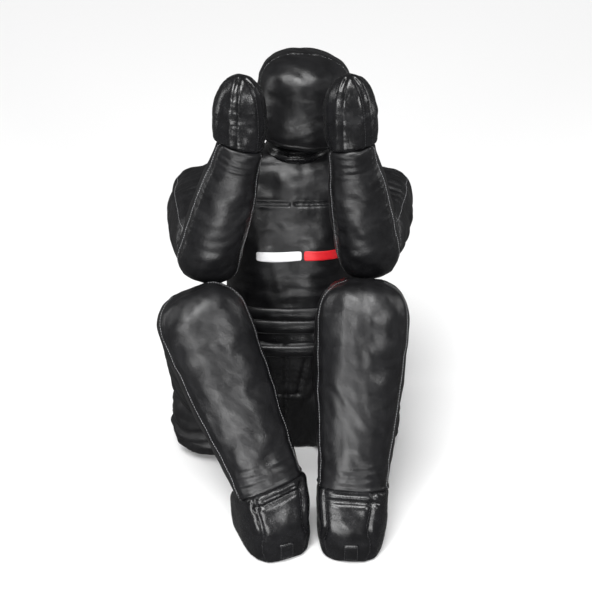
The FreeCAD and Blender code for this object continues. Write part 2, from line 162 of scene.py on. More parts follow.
def either(first, second, soft):
    """Two solids joined, with a filled corner."""
    def solid(points):
        a, b = first(points), second(points)
        h = np.clip(0.5 - 0.5 * (a - b) / soft, 0, 1)
        return b + (a - b) * h - soft * h * (1 - h)
    return solid


def cast(solid, origins, directions, reach=0.36, steps=60, halvings=16):
    """The outermost point of the solid along each ray that starts inside it."""
    shape = directions.shape[:-1]
    origins = np.broadcast_to(origins, directions.shape).reshape(-1, 3)
    directions = directions.reshape(-1, 3)
    inside = np.zeros(len(directions))
    outside = np.full(len(directions), reach)
    for step in range(steps, 0, -1):
        t = reach * (step - 1) / steps
        found = (solid(origins + directions * t) < 0) & (inside == 0)
        inside[found], outside[found] = max(t, 1e-6), t + reach / steps
    for _ in range(halvings):
        middle = (inside + outside) / 2
        within = solid(origins + directions * middle[:, None]) < 0
        inside, outside = np.where(within, middle, inside), np.where(within, outside, middle)
    return (origins + directions * inside[:, None]).reshape(*shape, 3)


def wrap(solid, axes, length, rows, caps):
    """A grid of points on the solid: round cap, sleeve, round cap."""
    first = [(0.0, tilt) for tilt in np.radians(np.linspace(-CAP_TILT, 0, caps[0], endpoint=False))]
    middle = [(z, 0.0) for z in np.linspace(0.0, length, rows)]
    last = [(length, tilt) for tilt in np.radians(np.linspace(0, CAP_TILT, caps[1] + 1))[1:]]
    z, tilt = np.array(first + middle + last).T
    angle = np.linspace(0, 2 * math.pi, COLUMNS, endpoint=False)
    flat = axes.world(np.sin(angle), np.cos(angle), np.zeros(COLUMNS)) - axes.origin
    directions = np.cos(tilt)[:, None, None] * flat[None] + (np.sin(tilt)[:, None] * axes.z)[:, None, :]
    origins = axes.world(np.zeros(len(z)), np.zeros(len(z)), z)[:, None, :]
    return cast(solid, origins, directions)


# ------------------------------------------------------------------ grids
def sample(grid, rows, columns):
    """Smoothly sampled points of a grid that closes on itself across its columns."""
    def weights(f):
        return (0.5 * (-f + 2 * f**2 - f**3), 0.5 * (2 - 5 * f**2 + 3 * f**3),
                0.5 * (f + 4 * f**2 - 3 * f**3), 0.5 * (-f**2 + f**3))
    count = grid.shape[1]
    j = np.floor(columns).astype(int)
    by_column = weights((columns - j)[..., None])
    i = np.clip(np.floor(rows).astype(int), 0, len(grid) - 2)
    by_row = weights((rows - i)[..., None])
    total = 0.0
    for di in range(4):
        row = np.clip(i + di - 1, 0, len(grid) - 1)
        line = sum(by_column[dj] * grid[row, (j + dj - 1) % count] for dj in range(4))
        total = total + by_row[di] * line
    return total


def near_seams(count, seams, period, spread, extra):
    """Positions from 0 to period, closer together around each seam."""
    base = np.linspace(0, period, count, endpoint=False)
    close = [seam + spread * k for seam in seams for k in np.linspace(-1, 1, extra)]
    places = np.unique(np.round(np.concatenate([base, np.mod(close, period)]), 4))
    keep = np.concatenate([[True], np.diff(places) > spread * 0.35])
    return places[keep]


def normals_of(grid):
    across = np.roll(grid, -1, axis=1) - np.roll(grid, 1, axis=1)
    along = np.gradient(grid, axis=0)
    normal = np.cross(along, across)
    return normal / np.maximum(np.linalg.norm(normal, axis=-1, keepdims=True), 1e-12)


def mesh_from(name, vertices, faces, material):
    mesh = bpy.data.meshes.new(name)
    mesh.from_pydata([tuple(v) for v in vertices], [], [tuple(f) for f in faces])
    mesh.update()
    mesh.polygons.foreach_set("use_smooth", [True] * len(mesh.polygons))
    mesh.materials.append(material)
    obj = bpy.data.objects.new(name, mesh)
    bpy.context.scene.collection.objects.link(obj)
    return obj


def grid_faces(rows, columns, close_rows=False):
    i, j = np.meshgrid(np.arange(rows if close_rows else rows - 1), np.arange(columns), indexing="ij")
    here, right = i * columns + j, i * columns + (j + 1) % columns
    up, far = (i + 1) % rows * columns + j, (i + 1) % rows * columns + (j + 1) % columns
    return np.stack([here, up, far, right], axis=-1).reshape(-1, 4).tolist()


def closed_mesh(name, grid, material):
    """The grid as a mesh with a point at each end."""
    rows, columns = grid.shape[:2]
    points = np.concatenate([grid.reshape(-1, 3), [grid[0].mean(axis=0), grid[-1].mean(axis=0)]])
    faces = grid_faces(rows, columns)
    low, high = rows * columns, rows * columns + 1
    faces += [(low, j, (j + 1) % columns) for j in range(columns)]
    last = (rows - 1) * columns
    faces += [(high, last + (j + 1) % columns, last + j) for j in range(columns)]
    return mesh_from(name, points, faces, material)


# ------------------------------------------------------------------ materials
def blank_material(name):
    """A new material, its node tree, its shader and the object's own coordinates."""
    material = bpy.data.materials.new(name)
    material.use_nodes = True
    tree = material.node_tree
    place = tree.nodes.new("ShaderNodeTexCoord").outputs["Object"]
    return material, tree, tree.nodes["Principled BSDF"], place


def texture(tree, place, kind, **inputs):
    node = tree.nodes.new(kind)
    for key, value in inputs.items():
        node.inputs[key].default_value = value
    tree.links.new(place, node.inputs["Vector"])
    return node


def tint(tree, shader, source, low, high, first, last):
    """The base colour, from first to last as the source goes from low to high."""
    blend = tree.nodes.new("ShaderNodeMix")
    blend.data_type = "RGBA"
    blend.inputs["A"].default_value = (*first, 1)
    blend.inputs["B"].default_value = (*last, 1)
    tree.links.new(ramp(tree, source, low, high, 0.0, 1.0), blend.inputs["Factor"])
    tree.links.new(blend.outputs["Result"], shader.inputs["Base Color"])


def bump(tree, height, strength, distance, under=None):
    """Bumps made by a height, over those of another bump node."""
    node = tree.nodes.new("ShaderNodeBump")
    node.inputs["Strength"].default_value = strength
    node.inputs["Distance"].default_value = distance
    tree.links.new(height, node.inputs["Height"])
    if under is not None:
        tree.links.new(under, node.inputs["Normal"])
    return node.outputs[0]


def ramp(tree, source, low, high, first, last):
    node = tree.nodes.new("ShaderNodeMapRange")
    for index, value in enumerate((low, high, first, last), start=1):
        node.inputs[index].default_value = value
    tree.links.new(source, node.inputs[0])
    return node.outputs[0]


def leather(name, dark, light, rough, grain, crease, specular=0.5):
    """Black coated leather: fine pebbled grain over soft creases, its sheen and colour a little uneven."""
    material, tree, shader, place = blank_material(name)
    pebbles = texture(tree, place, "ShaderNodeTexVoronoi", Scale=720.0, Randomness=1.0)
    pebbles.feature = "SMOOTH_F1"
    fine = texture(tree, place, "ShaderNodeTexNoise", Scale=1600.0, Detail=3.0)
    soft = texture(tree, place, "ShaderNodeTexNoise", Scale=85.0, Detail=5.0, Roughness=0.62, Distortion=0.6)
    broad = texture(tree, place, "ShaderNodeTexNoise", Scale=22.0, Detail=4.0, Roughness=0.55, Distortion=0.9)
    tint(tree, shader, broad.outputs["Fac"], 0.35, 0.7, dark, light)
    uneven = tree.nodes.new("ShaderNodeMath")
    uneven.operation = "ADD"
    tree.links.new(ramp(tree, broad.outputs["Fac"], 0.3, 0.7, *rough), uneven.inputs[0])
    tree.links.new(ramp(tree, soft.outputs["Fac"], 0.3, 0.7, -0.045, 0.06), uneven.inputs[1])
    tree.links.new(uneven.outputs[0], shader.inputs["Roughness"])
    bumps = bump(tree, pebbles.outputs["Distance"], 1.0, grain)
    bumps = bump(tree, fine.outputs["Fac"], 1.0, grain * 0.5, bumps)
    bumps = bump(tree, soft.outputs["Fac"], 1.0, crease, bumps)
    tree.links.new(bumps, shader.inputs["Normal"])
    shader.inputs["Specular IOR Level"].default_value = specular
    return material


def spun(name, colour, worn, rough):
    """Thread, tape, paint or metal: an even colour with fine fibres and soft wear."""
    material, tree, shader, place = blank_material(name)
    fibres = texture(tree, place, "ShaderNodeTexNoise", Scale=1400.0, Detail=2.0)
    wear = texture(tree, place, "ShaderNodeTexNoise", Scale=130.0, Detail=5.0, Roughness=0.7)
    tint(tree, shader, wear.outputs["Fac"], 0.45, 0.75, colour, worn)
    sheen = ramp(tree, fibres.outputs["Fac"], 0.3, 0.7, rough - 0.1, rough + 0.1)
    tree.links.new(sheen, shader.inputs["Roughness"])
    tree.links.new(bump(tree, fibres.outputs["Fac"], 0.6, 0.0002), shader.inputs["Normal"])
    return material


def plated(name):
    material = spun(name, (0.55, 0.54, 0.52), (0.32, 0.31, 0.30), 0.3)
    material.node_tree.nodes["Principled BSDF"].inputs["Metallic"].default_value = 1.0
    return material


BODY_LEATHER = leather("body_leather", (0.0048, 0.0048, 0.0054), (0.0085, 0.0085, 0.0095), (0.30, 0.41),
                       grain=0.00016, crease=0.0004)
GLOSSY_LEATHER = leather("glossy_leather", (0.0045, 0.0045, 0.005), (0.008, 0.008, 0.009), (0.20, 0.29),
                         grain=0.00010, crease=0.00035)
MATT_LEATHER = leather("matt_leather", (0.005, 0.005, 0.0055), (0.0085, 0.0085, 0.0092), (0.42, 0.54),
                       grain=0.00018, crease=0.0005, specular=0.4)
GREY_THREAD = spun("grey_thread", (0.30, 0.30, 0.31), (0.12, 0.12, 0.125), 0.6)
BLACK_THREAD = spun("black_thread", (0.02, 0.02, 0.022), (0.035, 0.035, 0.038), 0.5)
WHITE_PRINT = spun("white_print", (0.86, 0.86, 0.87), (0.78, 0.78, 0.79), 0.45)
RED_PRINT = spun("red_print", (0.72, 0.012, 0.02), (0.6, 0.01, 0.016), 0.42)
TAPE_CLOTH = spun("tape_cloth", (0.012, 0.012, 0.013), (0.022, 0.022, 0.024), 0.75)
ZIP_METAL = plated("zip_metal")


# ------------------------------------------------------------------ puffing
def puff(pressure=4.0, steps=20):
    """Inflates every job's grid at once, as cloth held along its seams."""
    scene = bpy.context.scene
    scene.frame_start, scene.frame_end = 1, steps
    work = []
    for name, job in jobs.items():
        grid, hold = job["grid"], job["hold"]
        obj = closed_mesh("sim_" + name, grid, BODY_LEATHER)
        held = obj.vertex_groups.new(name="held")
        for index in np.flatnonzero(hold.reshape(-1) > 0.01).tolist():
            held.add([index], float(hold.reshape(-1)[index]), "REPLACE")
        cloth = obj.modifiers.new("cloth", "CLOTH")
        settings = cloth.settings
        settings.quality = 5
        settings.mass = 0.25
        settings.tension_stiffness = settings.compression_stiffness = 14.0
        settings.shear_stiffness = 8.0
        settings.bending_stiffness = 0.6
        settings.air_damping = 2.0
        settings.use_pressure = True
        settings.uniform_pressure_force = pressure
        settings.vertex_group_mass = "held"
        settings.shrink_min = -0.012
        settings.effector_weights.gravity = 0.0
        cloth.collision_settings.use_collision = False
        cloth.point_cache.frame_start, cloth.point_cache.frame_end = 1, steps
        work.append((job, obj))
    for step in range(1, steps + 1):
        scene.frame_set(step)
    graph = bpy.context.evaluated_depsgraph_get()
    for job, obj in work:
        rows, columns = job["grid"].shape[:2]
        data = obj.evaluated_get(graph).data
        found = np.empty(len(data.vertices) * 3)
        data.vertices.foreach_get("co", found)
        moved = evened(found.reshape(-1, 3)[:rows * columns].reshape(rows, columns, 3) - job["grid"])
        size = np.linalg.norm(moved, axis=-1, keepdims=True)
        cap = job["cap"]
        job["grid"] = job["grid"] + moved * (cap * np.tanh(size / cap) / np.maximum(size, 1e-9))
    for _, obj in work:
        mesh = obj.data
        bpy.data.objects.remove(obj)
        bpy.data.meshes.remove(mesh)
    scene.frame_set(1)


def evened(moved, passes=5):
    """Smooths how far the points of a grid moved, and evens out each ring near the grid's two ends."""
    for _ in range(passes):
        ends = np.concatenate([moved[:1], moved, moved[-1:]])
        beside = (np.roll(moved, 1, axis=1) + np.roll(moved, -1, axis=1) + ends[2:] + ends[:-2]) / 4
        moved = 0.45 * moved + 0.55 * beside
    row = np.arange(len(moved))
    own = np.clip(np.minimum(row, row[::-1]) / 6, 0, 1)[:, None, None]
    return moved * own + moved.mean(axis=1, keepdims=True) * (1 - own)


# ------------------------------------------------------------------ surface detail
def lumps(points, size, seed, waves=14):
    """A smooth random field from -1 to 1, its lumps about as large as size."""
    source = np.random.default_rng(seed)
    total = np.zeros(points.shape[:-1])
    for _ in range(waves):
        direction = unit(source.normal(size=3)) * 2 * math.pi / (size * source.uniform(1.2, 3.0))
        total += np.sin(points @ direction + source.uniform(0, 2 * math.pi))
    return total / math.sqrt(waves)


def run_along(line):
    """How far along a line of points each of them is."""
    return np.concatenate([[0], np.cumsum(np.linalg.norm(np.diff(line, axis=0), axis=1))])


def at_run(place, run, values):
    """The values at a place along a line, or at several places."""
    return np.stack([np.interp(place, run, values[:, k]) for k in range(3)], axis=-1)


def nearest(points, line, chunk=4000):
    """Distance from each point to a line of points, and how far along the line that is."""
    flat = points.reshape(-1, 3)
    run = run_along(line)
    best = np.full(len(flat), 1e9)
    where = np.zeros(len(flat))
    for start in range(0, len(flat), chunk):
        gap = np.linalg.norm(flat[start:start + chunk, None] - line[None], axis=2)
        best[start:start + chunk] = gap.min(axis=1)
        where[start:start + chunk] = run[gap.argmin(axis=1)]
    return best.reshape(points.shape[:-1]), where.reshape(points.shape[:-1])


def dense(line, step=0.002):
    """A line sampled evenly, about a step apart."""
    run = run_along(line)
    return at_run(np.linspace(0, run[-1], max(int(run[-1] / step), 4)), run, line)


def groove(grid, line, depth, width, pucker):
    """Presses a seam into a grid, with the leather swelling and puckering beside it."""
    gap, along = nearest(grid, dense(line))
    normal = normals_of(grid)
    swell = 0.34 * depth * np.exp(-((gap - 2.6 * width) / (2.2 * width)) ** 2)
    ripple = pucker * np.exp(-gap / 0.011) * np.sin(2 * math.pi * along / 0.0135 + 1.7 * lumps(grid, 0.03, 5))
    press = -depth * np.exp(-(gap / width) ** 2)
    return grid + normal * (press + swell + ripple)[..., None]


def stitch(name, body, lines, material, pitch=PITCH, length=STITCH, radius=THREAD, slant=0.0):
    """Rows of stitches as one mesh. Each line is (points, normals)."""
    sides = 6
    rings = ((-0.5, 0.35), (-0.38, 0.85), (0.0, 1.0), (0.38, 0.85), (0.5, 0.35))    # place, share of radius
    vertices, faces = [], []
    for points, normals in lines:
        run = run_along(points)
        for place in np.arange(pitch / 2, run[-1], pitch):
            at = at_run(place, run, points)
            ahead = at_run(place + length / 2, run, points)
            behind = at_run(place - length / 2, run, points)
            if np.linalg.norm(ahead - behind) < 1e-6:
                continue
            normal = unit(at_run(place, run, normals))
            along = unit(ahead - behind)
            side = np.cross(along, normal)
            along = unit(along * math.cos(slant) + side * math.sin(slant))
            side = unit(np.cross(along, normal))
            base = len(vertices)
            for offset, size in rings:
                centre = at + along * offset * length
                for k in range(sides):
                    angle = 2 * math.pi * k / sides
                    lift = normal * (math.sin(angle) * size * radius + radius * (0.55 - 2.2 * offset ** 2))
                    vertices.append(centre + side * math.cos(angle) * size * radius + lift)
            faces += [tuple(base + value for value in face) for face in grid_faces(len(rings), sides)]
            faces += [tuple(base + k for k in range(sides))[::-1],
                      tuple(base + (len(rings) - 1) * sides + k for k in range(sides))]
    thread = mesh_from(name, vertices, faces, material)
    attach(thread, body)


# ------------------------------------------------------------------ pieces
jobs = {}


def add(name, grid, body, nodes, material, **how):
    """Notes a stuffed piece to puff up and finish. Its seams are lines of points on it."""
    hold = np.zeros(grid.shape[:2])
    hold[list(how["held_rows"])] = 1.0
    for line in how.get("seams", ()):
        hold = np.maximum(hold, nearest(grid, dense(line))[0] < SEAM_HOLD)
    jobs[name] = {**how, "grid": grid, "hold": hold, "body": body, "nodes": nodes, "material": material}


def on_grid(grid, path):
    """Points on a grid along a path of (row, column) positions."""
    path = np.asarray(path, dtype=float)
    t = np.linspace(0, len(path) - 1, 24 * (len(path) - 1) + 1)
    index = np.arange(len(path))
    return sample(grid, np.interp(t, index, path[:, 0]), np.interp(t, index, path[:, 1]))


def refined(job, fine):
    """The grid with more points, closest together at its straight seams."""
    coarse = job["grid"]
    rows_in, columns_in = coarse.shape[:2]
    columns_at = near_seams(columns_in * fine, job.get("close_columns", ()), columns_in, 0.55, 7)
    rows_at = np.linspace(0, rows_in - 1, (rows_in - 1) * fine + 1)
    close = [row + 0.5 * k for row in job.get("close_rows", ()) for k in np.linspace(-1, 1, 7)]
    rows_at = np.unique(np.round(np.concatenate([rows_at, close]), 4))
    rows_at = rows_at[np.concatenate([[True], np.diff(rows_at) > 0.12])]
    return sample(coarse, rows_at[:, None] + 0 * columns_at[None], columns_at[None] + 0 * rows_at[:, None])


def laid(tree, points):
    """Points moved onto a surface, and the normals there."""
    found, outward = [], []
    for point in points:
        place, normal, _, _ = tree.find_nearest(Vector(point))
        found.append(np.array(place))
        outward.append(np.array(normal))
    return np.array(found), np.array(outward)


def finish_piece(name, job):
    """Makes the mesh and the stitches of a stuffed piece, and returns its surface as a search tree."""
    grid = refined(job, job.get("fine", 3))
    seed = sum(ord(letter) for letter in name)
    field = 0.75 * lumps(grid, 0.036, seed) + 0.4 * lumps(grid, 0.016, seed + 1)
    grid = grid + normals_of(grid) * (job["lumps"] * field)[..., None]
    for shape in job.get("folds", ()):
        grid = shape(grid, normals_of(grid))
    seams = [snapped(grid, dense(line)) for line in job.get("seams", ())]
    for line in seams:
        grid = groove(grid, line, job.get("depth", 0.0034), job.get("width", 0.0034),
                      job.get("pucker", 0.0005))
    if "floor" in job:
        grid[..., 2] = np.maximum(grid[..., 2], job["floor"])
    obj = closed_mesh(name, grid, job["material"])
    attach(obj, job["body"])
    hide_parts(*job["nodes"])
    tree = BVHTree.FromObject(obj, bpy.context.evaluated_depsgraph_get())
    rows = []
    for line, sides in zip(seams, job.get("stitches", ())):
        for side in sides:
            rows.append(beside(tree, line, side * MARGIN))
    if rows:
        stitch(name + "_stitches", job["body"], rows, job.get("thread", GREY_THREAD))
    return tree


def snapped(grid, line):
    """A line moved onto a grid's surface."""
    flat, normal = grid.reshape(-1, 3), normals_of(grid).reshape(-1, 3)
    found = []
    for point in line:
        gap = np.linalg.norm(flat - point, axis=1)
        near = gap.argsort()[:4]
        weight = 1 / (gap[near] + 1e-4)
        weight /= weight.sum()
        n = unit((normal[near] * weight[:, None]).sum(axis=0))
        surface = (flat[near] * weight[:, None]).sum(axis=0)
        found.append(point + n * np.dot(surface - point, n))
    return np.array(found)


def beside(tree, line, offset):
    """A row of stitches beside a seam, on the finished surface."""
    line, outward = laid(tree, dense(line, 0.003))
    sideways = np.cross(outward, np.gradient(line, axis=0))
    sideways /= np.maximum(np.linalg.norm(sideways, axis=1, keepdims=True), 1e-9)
    return laid(tree, line + sideways * offset)


def column_at(angle):
    return angle / 360 * COLUMNS % COLUMNS


def straight_seams(grid, angles, first, last):
    """Seams along a sleeve at the given angles from its front, and the grid's columns there."""
    rows = np.linspace(first, last, 12)
    columns = [column_at(angle) for angle in angles]
    seams = [on_grid(grid, [(row, column) for row in rows]) for column in columns]
    return {"seams": seams, "close_columns": columns}


def loop_seam(solid, centre, normal, first, start, end):
    """A seam where a plane cuts a solid, from start to end degrees about its centre."""
    normal = unit(normal)
    u = unit(np.asarray(first, dtype=float) - normal * np.dot(first, normal))
    v = np.cross(normal, u)
    angle = np.radians(np.linspace(start, end, 90))[:, None]
    return cast(solid, np.asarray(centre, dtype=float), np.cos(angle) * u + np.sin(angle) * v)


def ripples(axes, z_range, angle_range, wave, size, slope=0.0):
    """Gathers across a sleeve, inside a window of heights and angles (degrees from its front)."""
    def shape(grid, normal):
        x, y, z = axes.local(grid)
        angle = np.degrees(np.arctan2(x, y))
        z_mid, z_half = sum(z_range) / 2, (z_range[1] - z_range[0]) / 2
        a_mid, a_half = sum(angle_range) / 2, (angle_range[1] - angle_range[0]) / 2
        off = (angle - a_mid + 180) % 360 - 180
        window = np.exp(-np.abs((z - z_mid) / z_half) ** 4 - np.abs(off / a_half) ** 4)
        bend = z + slope * off / 60 + 0.004 * lumps(grid, 0.05, 3)
        wave_form = np.cos(2 * math.pi * bend / wave)
        sharp = np.sign(wave_form) * np.abs(wave_form) ** 0.7
        return grid + normal * (size * window * sharp * (0.75 + 0.4 * lumps(grid, 0.03, 8)))[..., None]
    return shape


def ridge(axes, centre, normal, width, height, half):
    """A padded ridge where a plane crosses the front of a piece, out to half on each side."""
    def shape(grid, outward):
        x, y, _ = axes.local(grid)
        gap = (grid - centre) @ unit(normal)
        window = np.exp(-np.abs(x / half) ** 8) * (y > 0)
        return grid + outward * (height * window * np.exp(-(gap / width) ** 4))[..., None]
    return shape


def dent(place, size, depth):
    """A soft hollow, or a swelling where depth is negative, about a place."""
    def shape(grid, normal):
        gap = np.linalg.norm(grid - np.asarray(place), axis=-1)
        return grid - normal * (depth * np.exp(-(gap / size) ** 2))[..., None]
    return shape


# ------------------------------------------------------------------ legs
def fold_normal(before, pivot_at, after):
    """Normal of the plane that halves a folded joint, towards the second sleeve."""
    return unit(unit(after - pivot_at) - unit(before - pivot_at))


def facing(direction):
    """The direction or its opposite, whichever points to the front."""
    return direction if direction[1] < 0 else -direction


# Half sizes of a sleeve at equal steps along it: to the sides, to the front and to the back.
SHIN = ((0.089, 0.088, 0.084, 0.078, 0.072, 0.0685), (0.087, 0.085, 0.079, 0.072, 0.066, 0.062),
        (0.087, 0.084, 0.080, 0.074, 0.067, 0.061))
KNEE_CAP = ((0.089, 0.089), (0.086, 0.086), (0.086, 0.086))
THIGH = ((0.094, 0.093, 0.091, 0.088, 0.084), (0.092, 0.091, 0.089, 0.085, 0.080),
         (0.094, 0.092, 0.089, 0.086, 0.083))
SHIN_SEAMS = (60.0, -60.0, 142.0, -142.0)       # degrees from the front
THIGH_SEAMS = (62.0, -62.0)


def leg(side):
    hip, knee, ankle = HIP[side], KNEE[side], ANKLE[side]
    fold = fold_normal(hip, knee, ankle)
    shin_front = facing(np.cross(ankle - knee, np.cross(hip - knee, ankle - knee)))
    length = np.linalg.norm(ankle - knee)
    axes = Axes(knee, ankle - knee, shin_front)
    sleeve = sleeve_solid(axes, length, *SHIN, 2.7, (0.089, 0.010))
    cap = sleeve_solid(axes, 0.02, *KNEE_CAP, 2.7, (0.084, 0.07))
    lower = both(sleeve, beyond(knee + fold * FOLD_GAP, -fold), FOLD_ROUND["leg"])
    grid = wrap(either(lower, cap, 0.006), axes, length, rows=40, caps=(12, 5))
    folds = [dent(axes.world(0.02, 0.085, 0.10), 0.035, 0.0028),
             dent(axes.world(-0.03, 0.08, 0.19), 0.03, 0.0022),
             ripples(axes, (length - 0.055, length - 0.012), (-70, 70), 0.017, 0.0008)]
    add("shin_skin_" + side, grid, "shin_" + side,
        ["shin_front_panel_" + side, "shin_back_panel_" + side, "shin_filling_" + side], BODY_LEATHER,
        **straight_seams(grid, SHIN_SEAMS, 3.0, len(grid) - 5.0), stitches=[(1,), (-1,), (), ()],
        held_rows=range(-2, 1), lumps=0.0013, cap=0.006, folds=folds)

    reach = np.linalg.norm(knee - hip)
    along = unit(knee - hip)
    upper_side = -fold - along * np.dot(-fold, along)
    axes = Axes(hip, knee - hip, upper_side)
    thigh = sleeve_solid(axes, reach, *THIGH, 2.3, (0.093, 0.078))
    thigh = both(thigh, beyond(knee - fold * FOLD_GAP, fold), FOLD_ROUND["leg"])
    grid = wrap(thigh, axes, reach - 0.03, rows=36, caps=(12, 8))
    folds = [ripples(axes, (-0.03, 0.10), angles, 0.03, 0.0022, 0.01) for angles in ((60, 210), (-210, -60))]
    add("thigh_skin_" + side, grid, "thigh_" + side,
        ["thigh_cover_" + side, "thigh_filling_" + side, "hip_core_" + side], MATT_LEATHER,
        **straight_seams(grid, THIGH_SEAMS, 6.0, len(grid) - 10.0), stitches=[(1,), (-1,)],
        held_rows=range(-14, 0), lumps=0.0016, cap=0.004, folds=folds)


FOOT = ((0.0645, 0.068, 0.069, 0.0695, 0.069), (0.099, 0.102, 0.100, 0.09, 0.08),
        (0.084, 0.086, 0.083, 0.074, 0.066))
FOOT_HIGH = 0.15
FOOT_LEAN = {"R": 0.002, "L": 0.009}                    # how far its seams sit to one side
FOOT_RIDGES = {"R": (0.007, 0.0165), "L": (0.011,)}     # how far below the ankle
# A seam from the ankle over the instep to the sole: to the side, to the front, up, and its share of the lean.
FOOT_SEAM = ((0.044, 0.050, 0.140, 1.0), (0.043, 0.066, 0.112, 1.0), (0.046, 0.096, 0.080, 1.2),
             (0.056, 0.100, 0.050, 1.4), (0.052, 0.104, 0.008, 1.4))


def eased(route, count):
    """A smooth line through a few points."""
    t = np.linspace(0, 1, count)
    return np.stack([through(route[:, k], t) for k in range(3)], axis=1)


def foot(side):
    """Notes a foot and returns its axes."""
    ankle, lean = ANKLE[side], FOOT_LEAN[side]
    forward = facing(np.cross(UP, pivot_axis("ankle_bend_" + side)))
    up_shin = unit(KNEE[side] - ankle)
    axes = Axes((ankle[0], ankle[1], 0.0), UP, forward)
    solid = sleeve_solid(axes, FOOT_HIGH, *FOOT, 3.1, (0.006, 0.02))
    instep = axes.world(0.0, 0.0605, FOOT_HIGH)
    slope = axes.world(0.0, 0.857, 0.514) - axes.origin
    solid = both(solid, beyond(instep, slope), 0.030)
    solid = both(solid, beyond(ankle + up_shin * 0.001, up_shin), 0.010)
    solid = both(solid, beyond(np.zeros(3), -UP), 0.012)
    middle = Axes((ankle[0], ankle[1], 0.045), UP, forward)
    middle.origin = middle.origin + middle.y * 0.012
    grid = wrap(solid, middle, 0.03, rows=8, caps=(14, 15))
    seams = []
    for out in (-1, 1):
        route = np.array([axes.world(out * x + lean * share, y, z) for x, y, z, share in FOOT_SEAM])
        seams.append(cast(solid, middle.origin, unit_rows(eased(route, 40) - middle.origin)))
    seams.append(loop_seam(solid, ankle - up_shin * 0.0215, up_shin, forward, -38, 38))
    folds = [ridge(axes, ankle - up_shin * drop, up_shin, 0.0045, 0.0034, 0.042)
             for drop in FOOT_RIDGES[side]]
    folds.append(dent(axes.world(lean, 0.098, 0.086), 0.034, -0.006))
    add("foot_skin_" + side, grid, "foot_" + side,
        ["foot_cover_" + side, "foot_filling_" + side, "foot_sole_" + side], GLOSSY_LEATHER,
        seams=seams, stitches=[(-1,), (1,), ()], thread=BLACK_THREAD, held_rows=range(-8, 3), floor=0.0,
        fine=4, lumps=0.0010, cap=0.0025, depth=0.0036, width=0.0042, pucker=0.0, folds=folds)
    return axes


# ------------------------------------------------------------------ arms
FOREARM = ((0.062, 0.062, 0.060, 0.055, 0.0475, 0.0435), (0.059, 0.058, 0.055, 0.050, 0.045, 0.042),
           (0.059, 0.058, 0.055, 0.050, 0.045, 0.042))
ELBOW_CAP = ((0.0625, 0.0625), (0.061, 0.061), (0.06, 0.06))
UPPER_ARM = ((0.064, 0.0715, 0.0715, 0.070, 0.064), (0.064, 0.068, 0.066, 0.062, 0.056),
             (0.068, 0.070, 0.068, 0.064, 0.058))
HAND = ((0.0440, 0.0470, 0.0495, 0.0505, 0.0500), (0.0430, 0.0445, 0.0450, 0.0440, 0.0425),
        (0.0430, 0.0445, 0.0450, 0.0440, 0.0425))
FOREARM_SEAMS = (62.0, -62.0, 150.0, -150.0)    # degrees from the front
UPPER_ARM_SEAMS = (48.0, 128.0, -110.0)         # degrees from the top, towards the outside
HAND_SEAMS = {"R": (12.0, -50.0, -150.0, 104.0), "L": (28.0, -37.0, -130.0, 118.0)}
BULGE = {"R": 0.004, "L": 0.0}                  # the right upper arm is stuffed fuller
PLEAT = {"R": 0.0008, "L": 0.0024}              # height of the gathers over an upper arm
HAND_TIP = 0.078                                # length of the rounded end of a hand


def wrist_rim(side):
    """A point on the seam between hand and forearm and the seam's normal: it is higher at the front."""
    along = unit(WRIST[side] - ELBOW[side])
    return WRIST[side] + along * 0.005, unit(along + np.array((0.0, 0.36, 0.0)))


def arm(side):
    shoulder, elbow, wrist = SHOULDER[side], ELBOW[side], WRIST[side]
    fold = fold_normal(shoulder, elbow, wrist)
    length = np.linalg.norm(wrist - elbow)
    axes = Axes(elbow, wrist - elbow, FRONT)
    sleeve = sleeve_solid(axes, length + 0.02, *FOREARM, 2.35, (0.06, 0.006))
    cap = sleeve_solid(axes, 0.01, *ELBOW_CAP, 2.3, (0.062, 0.055))
    sleeve = both(sleeve, beyond(elbow + fold * FOLD_GAP, -fold), FOLD_ROUND["arm"])
    rim, tilt = wrist_rim(side)
    sleeve = both(either(sleeve, cap, 0.005), beyond(rim - tilt * 0.0005, tilt), 0.006)
    grid = wrap(sleeve, axes, length - 0.014, rows=36, caps=(12, 8))
    add("forearm_skin_" + side, grid, "forearm_" + side,
        ["forearm_front_panel_" + side, "forearm_back_panel_" + side, "forearm_filling_" + side],
        BODY_LEATHER, **straight_seams(grid, FOREARM_SEAMS, 4.0, len(grid) - 5.0),
        stitches=[(1,), (-1,), (), ()], held_rows=range(-2, 0), lumps=0.0013, cap=0.0045,
        folds=[ripples(axes, (length - 0.04, length + 0.01), (-80, 80), 0.014, 0.0005)])

    outer = OUT[side]
    reach = np.linalg.norm(elbow - shoulder)
    axes = Axes(shoulder, elbow - shoulder, UP)
    wide, front, back = UPPER_ARM
    wide = [wide[0], *(half + BULGE[side] for half in wide[1:-1]), wide[-1]]
    upper = sleeve_solid(axes, reach, wide, front, back, 2.3, (0.058, 0.056))
    upper = both(upper, beyond(elbow - fold * FOLD_GAP, fold), FOLD_ROUND["arm"])
    grid = wrap(upper, axes, reach - 0.01, rows=30, caps=(12, 9))
    seams = straight_seams(grid, [outer * angle for angle in UPPER_ARM_SEAMS], 5.0, len(grid) - 8.0)
    folds = [ripples(axes, (-0.02, 0.12), (outer * 5, outer * 42), 0.021, PLEAT[side], 0.004),
             ripples(axes, (0.05, 0.17), (outer * 70, outer * 120), 0.04, 0.0016, 0.02)]
    add("upper_arm_skin_" + side, grid, "upper_arm_" + side,
        ["upper_arm_cover_" + side, "upper_arm_filling_" + side, "shoulder_core_" + side], BODY_LEATHER,
        **seams, stitches=[(outer,), (), ()], held_rows=range(-8, 0), lumps=0.0015, cap=0.004, folds=folds)


